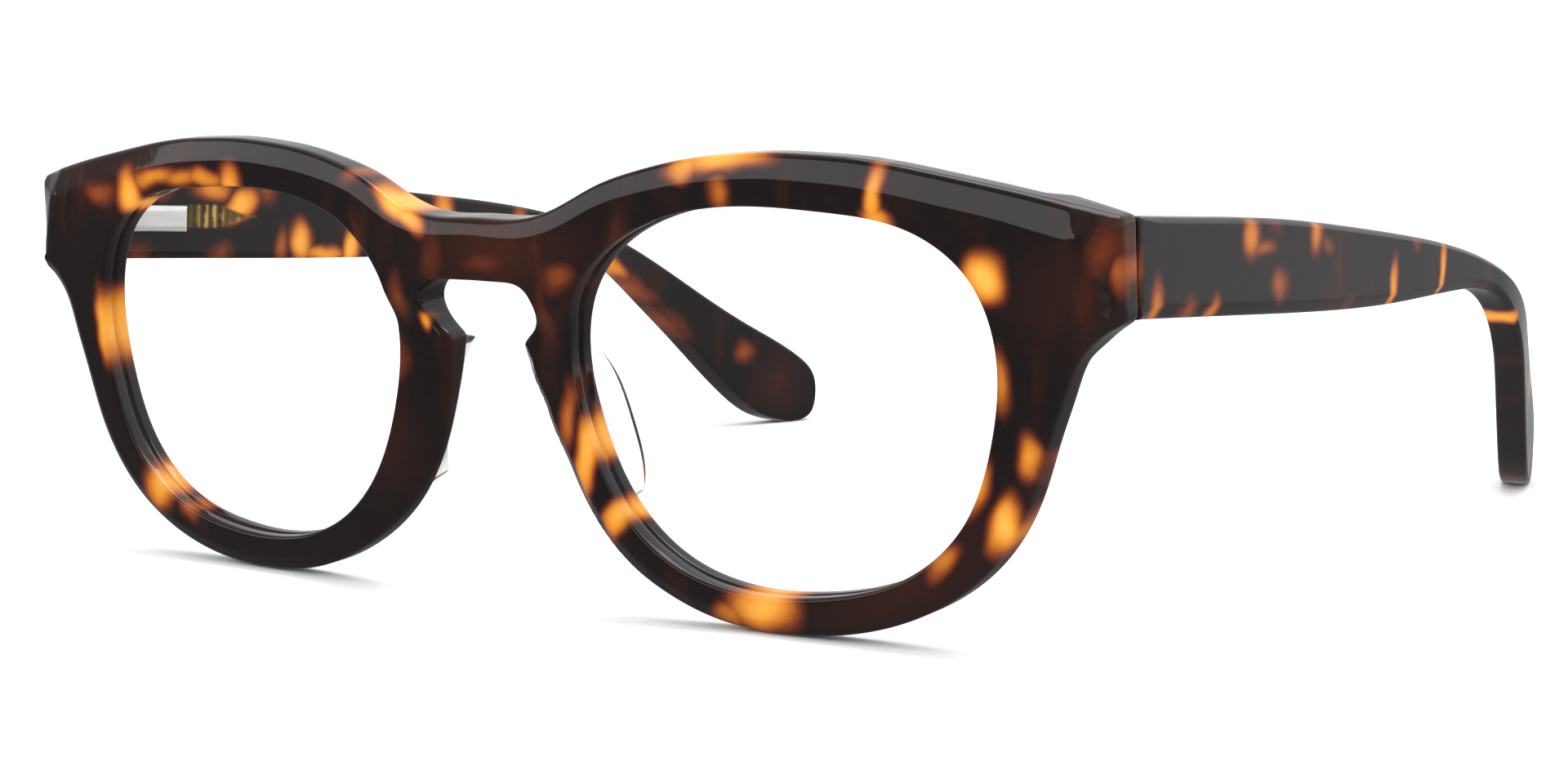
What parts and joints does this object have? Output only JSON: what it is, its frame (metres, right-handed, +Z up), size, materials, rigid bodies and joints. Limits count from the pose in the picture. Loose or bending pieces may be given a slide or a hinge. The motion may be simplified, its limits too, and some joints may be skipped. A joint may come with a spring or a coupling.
{
  "type": "eyeglasses frame",
  "caption": "Full-rim tortoiseshell acetate eyeglasses frame with a keyhole bridge, glued nose pads, cored temples and sprung folding hinges; open for wear, no lenses.",
  "frame": {"origin": "middle of the object on the surface it stands on, under the middle of its box", "axes": "+Z up from the surface, +X towards the wearer's left, the front faces -Y and the temples run to +Y"},
  "size_m": [0.1472, 0.149, 0.0495],
  "materials": {
    "acetate": "polished tortoiseshell cellulose acetate, dark brown with amber patches",
    "pad_acetate": "polished clear cellulose acetate, glued on",
    "hinge_metal": "nickel silver, plated",
    "housing_metal": "nickel-plated, satin",
    "screw_steel": "stainless steel",
    "spring_steel": "drawn spring wire",
    "core_metal": "nickel-silver core wire, warm through the acetate"
  },
  "bodies": {
    "front": {"front_frame": "acetate", "nose_pad_left": "pad_acetate", "front_hinge_left": "hinge_metal", "hinge_screw_left": "screw_steel", "nose_pad_right": "pad_acetate", "front_hinge_right": "hinge_metal", "hinge_screw_right": "screw_steel"},
    "slider_left": {"spring_slider_left": "hinge_metal", "spring_retainer_left": "screw_steel", "coil_spring_left": "spring_steel"},
    "temple_left": {"temple_left": "acetate", "temple_core_left": "core_metal", "spring_housing_left": "housing_metal", "housing_plug_left": "housing_metal"},
    "slider_right": {"spring_slider_right": "hinge_metal", "spring_retainer_right": "screw_steel", "coil_spring_right": "spring_steel"},
    "temple_right": {"temple_right": "acetate", "temple_core_right": "core_metal", "spring_housing_right": "housing_metal", "housing_plug_right": "housing_metal"}
  },
  "joints": [
    {"name": "left_fold", "type": "hinge", "parent": "front", "child": "slider_left", "pos_m": [0.0688, -0.06241, 0.03876], "axis": [0, 0.0663, 0.9978], "range_deg": [0, 83]},
    {"name": "left_flex", "type": "slide", "parent": "slider_left", "child": "temple_left", "axis": [-0.0201, 0.9976, -0.0663], "range_m": [0, 0.0012], "stiffness_N_per_m": 3000, "springref_m": -0.0006, "deforming": ["coil_spring_left"]},
    {"name": "right_fold", "type": "hinge", "parent": "front", "child": "slider_right", "pos_m": [-0.0688, -0.06241, 0.03876], "axis": [0, -0.0663, -0.9978], "range_deg": [0, 60]},
    {"name": "right_flex", "type": "slide", "parent": "slider_right", "child": "temple_right", "axis": [0.0201, 0.9976, -0.0663], "range_m": [0, 0.0012], "stiffness_N_per_m": 3000, "springref_m": -0.0006, "deforming": ["coil_spring_right"]}
  ]
}
